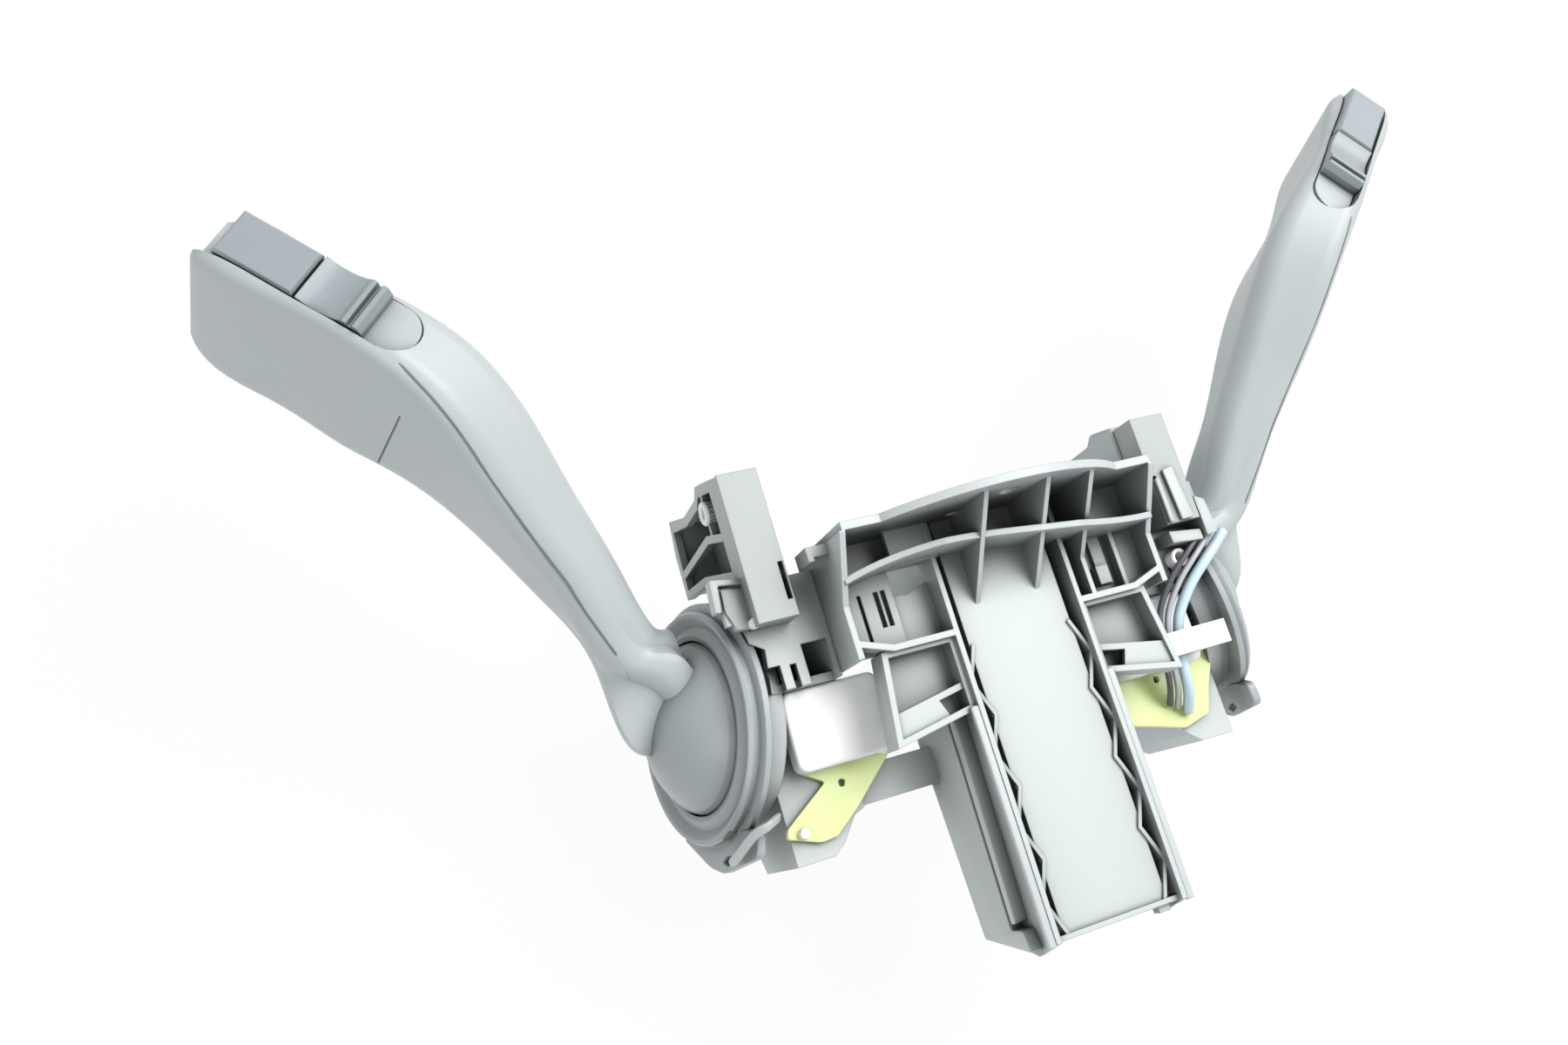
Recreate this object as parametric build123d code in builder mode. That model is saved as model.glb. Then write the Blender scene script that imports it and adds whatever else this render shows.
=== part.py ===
# Combination stalk switch for a steering column: a saddle-shaped column bracket with a
# switch unit and a stalk on each side of it.
# Millimetres. Z is up, Y points along the steering axis toward the driver, X is to the
# right in the photograph. The origin is the centre of the column screw hole on the
# driver-side face of the arched wall.
from build123d import *
from math import radians, sqrt, tan
import os

os.makedirs("parts", exist_ok=True)

# Column bracket: datums and walls
arch_depth = 29.5
front = -arch_depth
screw_height = 16.3
floor = -screw_height
screw_hole_r = 2.5
wall = 1.5
arch_wall = 2.0
rib_wall = 1.2

# Trough that sits over the column
trough_length = 71.0
trough_half = 17.5
trough_wall = 1.3
lip_height = 2.5
saddle_depth = 33.0
floor_half = 13.2
moat_depth = 8.0
zigzag_count = 4
zigzag_wall = 0.9
groove_height = 3.0
groove_depth = 0.6
groove_drop = 13.0

# Pockets on both sides of the trough
pocket_half = 41.4
pocket_floor_drop = 4.0
pocket_front_rise = 12.4
pocket_back_rise = 27.1
shoulder_height = 13.4
arch_radius = 45.0
arch_centre_drop = 19.0
arch_flat_half = 31.5
inner_wall_depth = 18.9
inner_wall_line = [(-1.0, 17.4), (-0.6, 20.0), (0.0, inner_wall_depth), (0.48, 16.8), (1.0, 16.2)]
inner_wall_height = 12.7
inner_wall_end_height = 6.5
gusset_x = 8.2
third_rib_x = 21.3
guide_drop = 18.0
opening_out = 27.2
opening_start = 12.9
opening_end = 19.4
pad_out = 39.0
pad_rise = 1.4
pad_slot_depth = 1.9
pad_slots = [(36.2, 3.2, 0.9), (32.0, 6.4, 1.2), (30.2, 6.4, 1.2)]
slot_end = 15.0
shelf_height = 2.4
strip_in = 27.2
strip_start = 3.4
strip_width = 3.4
hook_reach = 6.0
lobe_out = 38.8
lobe_depth = 21.2
lobe_in_depth = 17.3
lobe_drop = 6.0
lobe_rise = 1.0

# Pivot of each stalk, and the plane of its round bezel, left side
pivot_x = pocket_half + 24.6
pivot = Vector(-pivot_x, front - 2.6, floor - 37.0)
bezel_normal = Vector(-0.961, 0.135, 0.24)
pivot_plane = Plane(origin=pivot, x_dir=(0, -1, 0), z_dir=bezel_normal)

# Ball joint and bezel
bezel_opening_r = 21.0
bezel_opening_out = 7.6
ball_clearance = 0.5
ball_wall = 2.0
ball_r = sqrt((bezel_opening_r - ball_clearance) ** 2 + bezel_opening_out**2)
ball_rim = 4.3
bezel_back = 1.0
bezel_rim_r = 27.4
bezel_rim_out = 8.2
bezel_flange_r = 30.0
bezel_flange_out = 5.0
bezel_flange_wall = 1.6
bezel_seat_r = 25.6
lozenge = [(25.8, 10.4), (27.2, 5.9), (29.2, 3.4), (28.1, 7.8)]
ball_shoulder = 9.0
ball_height = 19.0
cup_back = -3.0
cup_r = 15.0
cup_wall = 1.8

# Gimbal inside the cup
yoke_half_x = 10.0
yoke_half_y = 9.2
yoke_bar = 3.4
yoke_low = -4.0
yoke_high = 3.0
trunnion_r = 2.5
trunnion_length = 3.6
pin_r = 1.5
running_gap = 0.05
side_gap = 0.4
largest_swing = 14.0
core_half_x = 4.0
tail_end = -11.0
tail_r = 4.0
plunger_r = 2.0
plunger_gap = 0.5
finger_r = 1.2
finger_start = Vector(0, 2.5, -8.6)
finger_end = Vector(0, 10.4, -17.0)
finger_slot_half = 3.9
finger_slot_end = 15.5

# Switch housing, left side
seat_gap = 0.8
housing_in = pocket_half + seat_gap
housing_out = housing_in + 19.8
nose_x = housing_out - 9.5
nose_step = 8.8
tongue_gap = 1.0
tongue_width = 9.0
tongue_thickness = 6.0
housing_wall = 2.0
housing_top = floor - 10.0
housing_bottom = floor - 54.0
housing_front = front - 39.8
housing_back = front + 25.0
notch_y = front - 1.0
step_top = floor - 8.0
step_thickness = 2.0
step_start = 16.0
step_reach = 4.5
board_top = floor - 20.0
board_thickness = 1.6
board_bed = board_top - board_thickness

# Rail along the top of each housing
rail_out = housing_out - 1.0
rail_width = 10.0
rail_top = floor - 1.8
rail_start = front + 14.0
left_rail_end = front + 50.0
right_rail_end = front + 43.0
plate_wall = 2.0
frame_bar = 2.0

# Connector
connector_out = housing_out - 5.0
connector_in = connector_out - 25.0
connector_front = front - 20.0
connector_back = front - 1.0
connector_height = 5.0
pin_pitch = 2.5
pin_size = 0.64
pin_count = 8

# Contact carrier
top_windows = [(1.3, 6.5, 8.5), (10.2, 1.6, 4.5), (14.1, 3.3, 4.9)]
carrier_gap = 0.4
prong_wall = 1.5

# Panel line across the broad face, measured from the pivot
panel_line_middle = (-64.4, 74.35, 33.0)
panel_line_heading = (-0.272, -0.14, -0.952)
panel_face_normal = (-0.713, -0.636, 0.292)
panel_line_length = 24.0
panel_line_width = 0.45
panel_line_depth = 0.4

# Seam between the two shells, seen from above and measured from the pivot
seam_route = [
    (-104.0, 126.0), (-82.4, 107.1), (-68.0, 93.2), (-59.4, 82.8),
    (-46.2, 59.2), (-32.2, 34.3), (-19.3, 10.7), (-8.0, -8.0),
]
seam_reach = 120.0

# Slide switch and end button in the top of each grip
slot_origin = (-73.2, 105.5, 54.15)
slot_heading = (-0.702, 0.706, -0.08)
slot_width = 12.0
slot_depth = 7.5
slot_gap = 0.3
button_length = 19.0
slider_length = 16.0
track_drop = 1.6
slot_straight = 19.7
slider_rise = 2.4


def rectangle_between(x0, y0, x1, y1):
    """Rectangle sketch with corners at two points, for use inside a sketch block."""
    with Locations(((x0 + x1) / 2, (y0 + y1) / 2)):
        Rectangle(abs(x1 - x0), abs(y1 - y0))


def block_between(low, high, mode=Mode.ADD):
    """Box from its low corner to its high corner."""
    centre = [(a + b) / 2 for a, b in zip(low, high)]
    size = [abs(b - a) for a, b in zip(low, high)]
    with Locations(tuple(centre)):
        Box(*size, mode=mode)


def write(piece, name):
    """Label a piece and write it as one STEP file."""
    piece.part.label = name
    export_step(piece.part, f"parts/{name}.step")


def write_pair(piece, name):
    """Write a left-hand piece, and its mirror image as the right-hand one."""
    with BuildPart() as twin:
        mirror(piece.part, about=Plane.YZ)
    write(piece, "left_" + name)
    write(twin, "right_" + name)


# Column bracket
trough_front = front - trough_length
inner_half = trough_half - trough_wall
floor_bottom = floor - wall

with BuildPart() as saddle_walls:
    with BuildSketch(Plane.YZ):
        with BuildLine():
            Polyline(
                (trough_front, floor + lip_height),
                (trough_front - 2.6, floor - 7.7),
                (trough_front + 3.4, floor - 31.0),
                (front - 4.0, floor - saddle_depth),
                (-arch_wall, floor - saddle_depth + 9.0),
                (-arch_wall, floor + lip_height),
                close=True,
            )
        make_face()
    extrude(amount=trough_half, both=True)
    with BuildSketch(Plane.YZ):
        rectangle_between(trough_front - 5, floor - saddle_depth - 5, 5, floor + lip_height + 5)
    extrude(amount=inner_half, both=True, mode=Mode.SUBTRACT)
    with BuildSketch(Plane.YZ.offset(-trough_half)):
        with Locations((front - 43.0, floor - groove_drop)):
            SlotOverall(44.0, groove_height)
    extrude(amount=groove_depth, mode=Mode.SUBTRACT)

with BuildPart() as arch:
    with BuildSketch(Plane.XZ):
        with BuildLine():
            arc_y = sqrt(arch_radius**2 - arch_flat_half**2) - arch_centre_drop + floor
            ThreePointArc(
                (-arch_flat_half, arc_y),
                (0, floor - arch_centre_drop + arch_radius),
                (arch_flat_half, arc_y),
            )
            Polyline(
                (arch_flat_half, arc_y),
                (pocket_half, floor + shoulder_height),
                (pocket_half, floor - pocket_floor_drop - wall),
                (-pocket_half, floor - pocket_floor_drop - wall),
                (-pocket_half, floor + shoulder_height),
                (-arch_flat_half, arc_y),
            )
        make_face()
    extrude(amount=arch_wall)
    with BuildSketch(Plane.XZ):
        Circle(screw_hole_r)
        with Locations((-9.5, floor + 5.0)):
            Ellipse(2.4, 1.5)
    extrude(amount=arch_wall, mode=Mode.SUBTRACT)

with BuildPart() as inner_wall:
    with BuildSketch(Plane.XY.offset(floor - pocket_floor_drop)):
        with BuildLine():
            Spline(*[(share * pocket_half, front + depth) for share, depth in inner_wall_line])
        trace(line_width=wall)
    extrude(amount=pocket_floor_drop + inner_wall_height)
    with BuildSketch(Plane.XZ.offset(-5)):
        with BuildLine():
            Polyline(
                (-pocket_half, floor + inner_wall_end_height),
                (-trough_half, floor + inner_wall_height),
                (trough_half, floor + inner_wall_height),
                (pocket_half, floor + inner_wall_end_height),
                (pocket_half, floor - pocket_floor_drop),
                (-pocket_half, floor - pocket_floor_drop),
                close=True,
            )
        make_face()
    extrude(amount=arch_depth + 10, mode=Mode.INTERSECT)


def side_wall(x):
    """Outer wall of a pocket, rising toward the arched wall, with the guide for the unit."""
    with BuildSketch(Plane.YZ.offset(x)) as profile:
        with BuildLine():
            Polyline(
                (front, floor - guide_drop),
                (front, floor + lip_height),
                (front + pocket_front_rise, floor + lip_height),
                (front + pocket_back_rise, floor + shoulder_height),
                (-arch_wall, floor + shoulder_height),
                (-arch_wall, floor - guide_drop),
                close=True,
            )
        make_face()
    extrude(profile.sketch, amount=wall / 2, both=True)


def gusset(x):
    """Rib from the trough floor over the inner wall to the arched wall."""
    with BuildSketch(Plane.YZ.offset(x)) as profile:
        with BuildLine():
            Polyline(
                (front + 6.2, floor),
                (front + inner_wall_depth, floor + inner_wall_height),
                (-arch_wall, floor + 21.3),
                (-arch_wall, floor),
                close=True,
            )
        make_face()
    extrude(profile.sketch, amount=rib_wall / 2, both=True)


def zigzag(side):
    """Zigzag rib that fills the moat between the floor and the outer wall."""
    pitch = (trough_length - 4.0) / zigzag_count
    inner_x = side * (floor_half - 0.2)
    outer_x = side * (inner_half + 0.2)
    nodes = [(inner_x, front - 3.0)]
    for index in range(zigzag_count):
        nodes.append((outer_x, front - 3.0 - pitch * (index + 0.5)))
        nodes.append((inner_x, front - 3.0 - pitch * (index + 1)))
    with BuildSketch(Plane.XY.offset(floor - moat_depth)) as profile:
        with BuildLine():
            Polyline(*nodes)
        trace(line_width=zigzag_wall)
    extrude(profile.sketch, amount=moat_depth + 0.6)


def lobe(side):
    """Low open box beside the trough, ahead of a pocket."""
    corners = [
        (side * (trough_half - 0.2), front + 0.5),
        (side * (lobe_out - 2.8), front + 0.5),
        (side * lobe_out, front - lobe_depth),
        (side * (trough_half - 0.2), front - lobe_in_depth),
    ]
    with BuildSketch(Plane.XY.offset(floor - lobe_drop)) as profile:
        with BuildLine():
            Polyline(*corners, close=True)
        make_face()
    extrude(profile.sketch, amount=lobe_drop + lobe_rise)
    with BuildSketch(Plane.XY.offset(floor - lobe_drop + wall)) as profile:
        with BuildLine():
            Polyline(*corners, close=True)
        make_face()
        offset(amount=-wall, kind=Kind.INTERSECTION, mode=Mode.REPLACE)
    extrude(profile.sketch, amount=lobe_drop + lobe_rise, mode=Mode.SUBTRACT)
    with BuildSketch(Plane.XY.offset(floor - lobe_drop + 1.0)) as profile:
        with BuildLine():
            Line((side * trough_half, front - 11.0), (side * (lobe_out - 1.5), front - 14.6))
        trace(line_width=wall)
    extrude(profile.sketch, amount=lobe_drop - 0.8)
    # foot plate over the outer part of the box
    with BuildSketch(Plane.XY.offset(floor - 1.0)) as profile:
        with BuildLine():
            Polyline(
                (side * (trough_half + 8.0), front - 13.0),
                (side * (lobe_out - 1.0), front - 14.2),
                (side * lobe_out, front - lobe_depth),
                (side * (trough_half + 6.0), front - lobe_in_depth - 0.8),
                close=True,
            )
        make_face()
    extrude(profile.sketch, amount=1.2)


with BuildPart() as bracket:
    add(saddle_walls.part)
    # trough floor, and its deep moat on both sides
    block_between(
        (-floor_half, trough_front, floor_bottom), (floor_half, -arch_wall, floor)
    )
    block_between(
        (-inner_half - 0.2, trough_front + 1.0, floor - moat_depth - wall),
        (inner_half + 0.2, -arch_wall, floor - moat_depth),
    )
    for side in (-1, 1):
        block_between(
            (side * floor_half - rib_wall / 2, trough_front + 1.0, floor - moat_depth - wall),
            (side * floor_half + rib_wall / 2, -arch_wall, floor),
        )
        zigzag(side)
        lobe(side)
    # thin lip across the open end
    block_between(
        (-trough_half, trough_front, floor - 3.0), (trough_half, trough_front + 1.2, floor + 0.8)
    )
    add(arch.part)
    add(inner_wall.part)
    for side in (-1, 1):
        side_wall(side * pocket_half)
        gusset(side * gusset_x)
        # pocket floor and low front wall
        with BuildSketch(Plane.XY.offset(floor - pocket_floor_drop - wall)):
            with BuildLine():
                Polyline(
                    (side * (trough_half - 0.2), front),
                    (side * (pocket_half - 8.4), front),
                    (side * pocket_half, front + 3.6),
                    (side * pocket_half, -arch_wall),
                    (side * (trough_half - 0.2), -arch_wall),
                    close=True,
                )
            make_face()
        extrude(amount=wall)
        with BuildSketch(Plane.XY.offset(floor - pocket_floor_drop - wall)):
            with BuildLine():
                Polyline(
                    (side * (trough_half - 0.2), front + wall / 2),
                    (side * (pocket_half - 8.4), front + wall / 2),
                    (side * pocket_half, front + 3.6),
                )
            trace(line_width=wall)
        extrude(amount=pocket_floor_drop + wall + lip_height)
    # third rib stands only in the right pocket
    with BuildSketch(Plane.YZ.offset(third_rib_x)):
        with BuildLine():
            Polyline(
                (front, floor - pocket_floor_drop - 1),
                (front, floor + lip_height),
                (front + 10.5, floor + lip_height),
                (-arch_wall, floor + 19.0),
                (-arch_wall, floor - pocket_floor_drop - 1),
                close=True,
            )
        make_face()
    extrude(amount=rib_wall / 2, both=True)
    # opening in the left pocket floor, up to the inner wall
    with BuildSketch(Plane.XY.offset(floor - 2 * pocket_floor_drop)):
        with BuildLine():
            Polyline(
                (-trough_half, front + opening_start + 1.8),
                (-opening_out + 4.0, front + opening_start),
                (-opening_out + 0.8, front + opening_start + 0.5),
                (-opening_out, front + opening_end),
                (-trough_half, front + opening_end),
                close=True,
            )
        make_face()
    extrude(amount=2 * pocket_floor_drop - 1.0, mode=Mode.SUBTRACT)
    # slotted pad beside the opening, and a shelf behind the inner wall
    block_between(
        (-pad_out, front + 0.5, floor - pocket_floor_drop),
        (-opening_out, front + inner_wall_depth, floor - pocket_floor_drop + pad_rise),
    )
    block_between(
        (-opening_out, front + inner_wall_depth, floor + shelf_height - wall),
        (-trough_half + 2.0, -arch_wall, floor + shelf_height),
    )
    for slot_x, slot_start, slot_wide in pad_slots:
        block_between(
            (-slot_x, front + slot_start, floor - pocket_floor_drop + pad_rise - pad_slot_depth),
            (-slot_x + slot_wide, front + slot_end, floor),
            mode=Mode.SUBTRACT,
        )
    # raised strip and low stop in the right pocket
    block_between(
        (strip_in, front + strip_start, floor - pocket_floor_drop),
        (strip_in + strip_width, front + inner_wall_depth - 3.0, floor - pocket_floor_drop + pad_rise),
    )
    block_between(
        (strip_in - 1.0, front + strip_start, floor - pocket_floor_drop),
        (strip_in + strip_width - 1.0, front + 8.0, floor - pocket_floor_drop + 2 * pad_rise),
    )
    block_between(
        (strip_in + strip_width + 1.6, front + 0.5, floor - pocket_floor_drop),
        (strip_in + strip_width + 1.6 + rib_wall, front + inner_wall_depth - 3.0, floor - 0.5),
    )
    # hook at the left end of the arched wall
    block_between(
        (-pocket_half - hook_reach, front + 25.0, floor + 1.0),
        (-pocket_half + 0.2, -arch_wall, floor + 4.0),
    )
    block_between(
        (-pocket_half - hook_reach, front + 24.0, floor - 4.0),
        (-pocket_half - hook_reach + wall, -arch_wall, floor + 4.0),
    )
    # nub on the lip
    block_between(
        (trough_half - 6.4, trough_front - 1.6, floor - 3.0),
        (trough_half - 3.4, trough_front + 0.5, floor - 0.4),
    )
write(bracket, "column_bracket")

# Bezel ring round the ball
seat_r = ball_r + ball_clearance
with BuildPart() as bezel:
    with BuildSketch(Plane(origin=pivot, x_dir=pivot_plane.x_dir, z_dir=-pivot_plane.y_dir)):
        with BuildLine():
            Polyline(
                (bezel_opening_r, bezel_opening_out),
                (bezel_opening_r + 1.2, bezel_opening_out + 0.3),
                (bezel_rim_r - 2.9, bezel_opening_out - 0.9),
                (bezel_rim_r - 0.9, bezel_rim_out - 0.2),
                (bezel_rim_r, bezel_rim_out),
                (bezel_rim_r + 0.7, bezel_rim_out - 1.0),
                (bezel_flange_r - 2.0, bezel_flange_out + 0.6),
                (bezel_flange_r, bezel_flange_out),
                (bezel_flange_r, bezel_flange_out - bezel_flange_wall),
                (bezel_seat_r, bezel_flange_out - bezel_flange_wall - 0.6),
                (bezel_seat_r, bezel_back),
                (sqrt(seat_r**2 - bezel_back**2), bezel_back),
            )
            ThreePointArc(
                (sqrt(seat_r**2 - bezel_back**2), bezel_back),
                (sqrt(seat_r**2 - (bezel_opening_out * 0.55) ** 2), bezel_opening_out * 0.55),
                (bezel_opening_r, bezel_opening_out),
            )
        make_face()
    revolve(axis=Axis(pivot, bezel_normal))
    # lozenge-shaped hole through the flange
    with BuildSketch(pivot_plane.offset(bezel_flange_out - 2 * bezel_flange_wall)):
        with BuildLine():
            Polyline(*lozenge, close=True)
        make_face()
    extrude(amount=bezel_rim_out, mode=Mode.SUBTRACT)
write_pair(bezel, "bezel_ring")

# Switch housing with the cup for the ball
cup_plane = Plane(origin=pivot, x_dir=pivot_plane.x_dir, z_dir=-pivot_plane.y_dir)
pivot_axis = Axis(pivot, bezel_normal)
cup_out_r = cup_r + cup_wall
drum_wall_r = bezel_seat_r - cup_wall
shelf = cup_back + 1.6


def on_sphere(radius, z):
    """Radius of a sphere at a height above its centre."""
    return sqrt(radius**2 - z**2)


def housing_outline(inset):
    """Closed side outline of the housing, drawn in the YZ plane, inset by a wall."""
    Polyline(
        (housing_back - inset, housing_top - inset),
        (housing_back - inset, housing_bottom + 4.0 + inset / 2),
        (housing_back - 5.0 - inset / 2, housing_bottom + inset),
        (front - 30.0 + inset / 2, housing_bottom + inset),
        (housing_front + inset, housing_bottom + 6.0 + inset / 2),
        (housing_front + inset, board_bed - min(inset, 1.5)),
        (notch_y + inset, board_bed - min(inset, 1.5)),
        (notch_y + inset, housing_top - inset),
        close=True,
    )


def plan_outline():
    """Outline of the housing seen from above, open toward the cover."""
    inner_x = housing_in - 12.0
    Polyline(
        (-housing_out, housing_back),
        (-housing_out, housing_front),
        (-nose_x, housing_front),
        (-nose_x + 3.3, housing_front + 2.5),
        (-nose_x + 7.5, housing_front + nose_step - 1.0),
        (-housing_in, housing_front + nose_step),
        (-inner_x, housing_front + nose_step),
        (-inner_x, housing_back),
        close=True,
    )


with BuildPart() as hollow:
    with BuildSketch(Plane.YZ.offset(-housing_out)):
        with BuildLine():
            housing_outline(housing_wall)
        make_face()
    extrude(amount=housing_out)
    with BuildSketch(Plane.XY.offset(housing_bottom)):
        with BuildLine():
            plan_outline()
        make_face()
        offset(amount=-housing_wall, kind=Kind.INTERSECTION, mode=Mode.REPLACE)
    extrude(amount=housing_top - housing_bottom, mode=Mode.INTERSECT)

with BuildPart() as housing:
    with BuildSketch(Plane.YZ.offset(-housing_out)):
        with BuildLine():
            housing_outline(0.0)
        make_face()
    extrude(amount=housing_out - housing_in)
    with BuildSketch(Plane.XY.offset(housing_bottom)):
        with BuildLine():
            plan_outline()
        make_face()
    extrude(amount=housing_top - housing_bottom, mode=Mode.INTERSECT)
    add(hollow.part, mode=Mode.SUBTRACT)
    # tongue under the lobe, up to the trough wall, carried by the end of the nose
    tongue_front = housing_front + nose_step + 0.4
    tongue_top = board_bed - 2.4
    block_between(
        (-housing_in + side_gap / 2, tongue_front, tongue_top - tongue_thickness),
        (-trough_half - tongue_gap, tongue_front + tongue_width, tongue_top),
    )
    block_between(
        (-housing_in - 1.5, tongue_front, tongue_top - tongue_thickness),
        (-housing_in + 1.0, tongue_front + housing_wall - 0.8, tongue_top),
    )
    # cup and drum
    with BuildSketch(cup_plane):
        with BuildLine():
            ThreePointArc(
                (0, -cup_out_r),
                (on_sphere(cup_out_r, cup_out_r * 0.7), -cup_out_r * 0.7),
                (on_sphere(cup_out_r, cup_back), cup_back),
            )
            Polyline(
                (on_sphere(cup_out_r, cup_back), cup_back),
                (bezel_seat_r, cup_back),
                (bezel_seat_r, bezel_back),
                (0, bezel_back),
                (0, -cup_out_r),
            )
        make_face()
    revolve(axis=pivot_axis)
    with BuildSketch(cup_plane):
        with BuildLine():
            ThreePointArc(
                (0, -cup_r),
                (on_sphere(cup_r, cup_r * 0.7), -cup_r * 0.7),
                (on_sphere(cup_r, shelf), shelf),
            )
            Polyline(
                (on_sphere(cup_r, shelf), shelf),
                (drum_wall_r, shelf),
                (drum_wall_r, bezel_back),
                (bezel_flange_r + 0.3, bezel_back),
                (bezel_flange_r + 0.3, bezel_rim_out + 4.0),
                (0, bezel_rim_out + 4.0),
                (0, -cup_r),
            )
        make_face()
    revolve(axis=pivot_axis, mode=Mode.SUBTRACT)
    # bearing posts for the trunnions
    post_in = yoke_half_x + 1.2
    with BuildSketch(pivot_plane.offset(-7.0)):
        for side in (-1, 1):
            rectangle_between(side * post_in, -4.0, side * 15.6, 4.0)
    extrude(amount=11.0)
    with BuildSketch(Plane(origin=pivot, x_dir=pivot_plane.y_dir, z_dir=pivot_plane.x_dir)):
        Circle(trunnion_r + running_gap)
    extrude(amount=yoke_half_x + trunnion_length + 0.4, both=True, mode=Mode.SUBTRACT)
    # slot in the cup for the lever's finger
    with BuildSketch(pivot_plane.offset(-cup_out_r - 2.0)):
        rectangle_between(-finger_slot_half, 0.5, finger_slot_half, finger_slot_end)
    extrude(amount=11.0, mode=Mode.SUBTRACT)
    # windows in the top plate
    for window_in, window_width, window_end in top_windows:
        block_between(
            (-housing_in - window_in - window_width, front - 1.2, housing_top - 3),
            (-housing_in - window_in, front + window_end, housing_top + 1),
            mode=Mode.SUBTRACT,
        )
    # step beside the rail
    block_between(
        (-housing_out - step_reach, front + step_start, step_top - step_thickness),
        (-housing_out + 1.0, housing_back, step_top),
    )
    block_between(
        (-housing_out, front + step_start, step_top - 2.5 * step_thickness),
        (-housing_out + 1.0, housing_back, step_top),
    )
write_pair(housing, "switch_housing")

with BuildPart() as cover:
    with BuildSketch(Plane.YZ.offset(-housing_in)):
        with BuildLine():
            housing_outline(housing_wall)
        make_face()
        with Locations((housing_front, (housing_top + housing_bottom) / 2)):
            Rectangle(
                2 * (nose_step + housing_wall), housing_top - housing_bottom, mode=Mode.SUBTRACT
            )
        offset(amount=-side_gap / 2, kind=Kind.INTERSECTION, mode=Mode.REPLACE)
    extrude(amount=-1.2)
write_pair(cover, "housing_cover")

# Rail with its open end frame
rail_bottom = housing_top


def make_rail(rail_end, split_window):
    """Rail for one side; it ends at the given Y, with one window or two in its frame."""
    top_start = front + 24.5
    knee = (front + 31.6, floor - 32.6)
    foot = (front + 32.9, floor - 53.8)
    with BuildPart() as rail:
        block_between(
            (-rail_out, rail_start, rail_bottom), (-rail_out + rail_width, rail_end, rail_top)
        )
        block_between(
            (-rail_out + plate_wall, rail_start + 15.0, rail_bottom - 1),
            (-rail_out + rail_width - 1.4, rail_end - 1.6, rail_top - 1.6),
            mode=Mode.SUBTRACT,
        )
        block_between(
            (-rail_out + 8.4, front + 18.0, rail_bottom - 1), (-rail_out + 9.6, front + 27.0, rail_top + 1),
            mode=Mode.SUBTRACT,
        )
        with BuildSketch(Plane.YZ.offset(-rail_out)) as outline:
            with BuildLine():
                Polyline(
                    (top_start, rail_top),
                    (rail_end - 0.4, rail_top),
                    (rail_end + 2.4, floor - 14.7),
                    (rail_end + 3.4, floor - 20.3),
                    (rail_end + 1.0, floor - 23.3),
                    (rail_end + 0.7, floor - 36.3),
                    (rail_end + 4.1, floor - 51.0),
                    (rail_end - 0.4, floor - 52.3),
                    (rail_end - 5.0, floor - 53.8),
                    foot,
                    knee,
                    close=True,
                )
            make_face()
            with BuildLine():
                Polyline(
                    (top_start + 4.2, rail_bottom),
                    (rail_end - 1.4, rail_bottom),
                    (rail_end + 0.6, floor - 20.0),
                    (rail_end - 1.5, floor - 23.3),
                    (rail_end - 1.8, floor - 36.3),
                    (rail_end + 0.6, floor - 49.6),
                    (foot[0] + frame_bar, floor - 51.0),
                    (knee[0] + frame_bar, knee[1]),
                    close=True,
                )
            make_face(mode=Mode.SUBTRACT)
            if split_window:
                with BuildLine():
                    Polyline(
                        (rail_end - 12.8, rail_bottom),
                        (rail_end - 9.8, floor - 22.0),
                        (rail_end - 11.0, floor - 53.0),
                    )
                trace(line_width=frame_bar)
            with Locations((rail_end - 4.4, floor - 17.4)):
                Circle(3.0)
            with BuildLine():
                Line((rail_end - 10.2, floor - 17.4), (rail_end + 1.2, floor - 17.4))
            trace(line_width=1.4)
        extrude(outline.sketch, amount=plate_wall)
        with BuildSketch(Plane.YZ.offset(-rail_out)) as hole:
            with Locations((rail_end - 4.4, floor - 17.4)):
                Circle(1.5)
        extrude(hole.sketch, amount=plate_wall, mode=Mode.SUBTRACT)
    return rail


left_rail = make_rail(left_rail_end, True)
write(left_rail, "left_mounting_rail")
right_rail_master = make_rail(right_rail_end, False)
with BuildPart() as right_rail:
    mirror(right_rail_master.part, about=Plane.YZ)
write(right_rail, "right_mounting_rail")

# Circuit board, connector and its pins
with BuildPart() as board:
    with BuildSketch(Plane.XY.offset(board_bed)):
        with BuildLine():
            Polyline(
                (-connector_in + 1.0, notch_y - 0.4),
                (-connector_in + 1.0, front - 20.0),
                (-housing_out + 13.0, front - 34.6),
                (-housing_out + 8.0, front - 36.0),
                (-housing_out - 1.0, front - 34.0),
                (-housing_out - 1.0, front - 30.5),
                (-connector_out, front - 27.0),
                (-connector_out, notch_y - 0.4),
                close=True,
            )
        make_face()
        with Locations((-housing_out + 7.0, front - 29.5)):
            Circle(0.9, mode=Mode.SUBTRACT)
    extrude(amount=board_thickness)
write_pair(board, "circuit_board")

connector_top = board_top + connector_height
with BuildPart() as connector:
    with BuildSketch(Plane.XY.offset(board_top)):
        with Locations(
            ((-connector_out - connector_in) / 2, (connector_front + connector_back) / 2)
        ):
            RectangleRounded(
                connector_out - connector_in, connector_back - connector_front, 2.5
            )
    extrude(amount=connector_height)
    fillet(connector.faces().sort_by(Axis.Z)[-1].edges(), 1.0)
    block_between(
        (-connector_out + 2.0, connector_front - 1, board_top + 1.2),
        (-connector_in - 2.0, connector_front + 8.0, connector_top - 1.2),
        mode=Mode.SUBTRACT,
    )
write_pair(connector, "connector")

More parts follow.
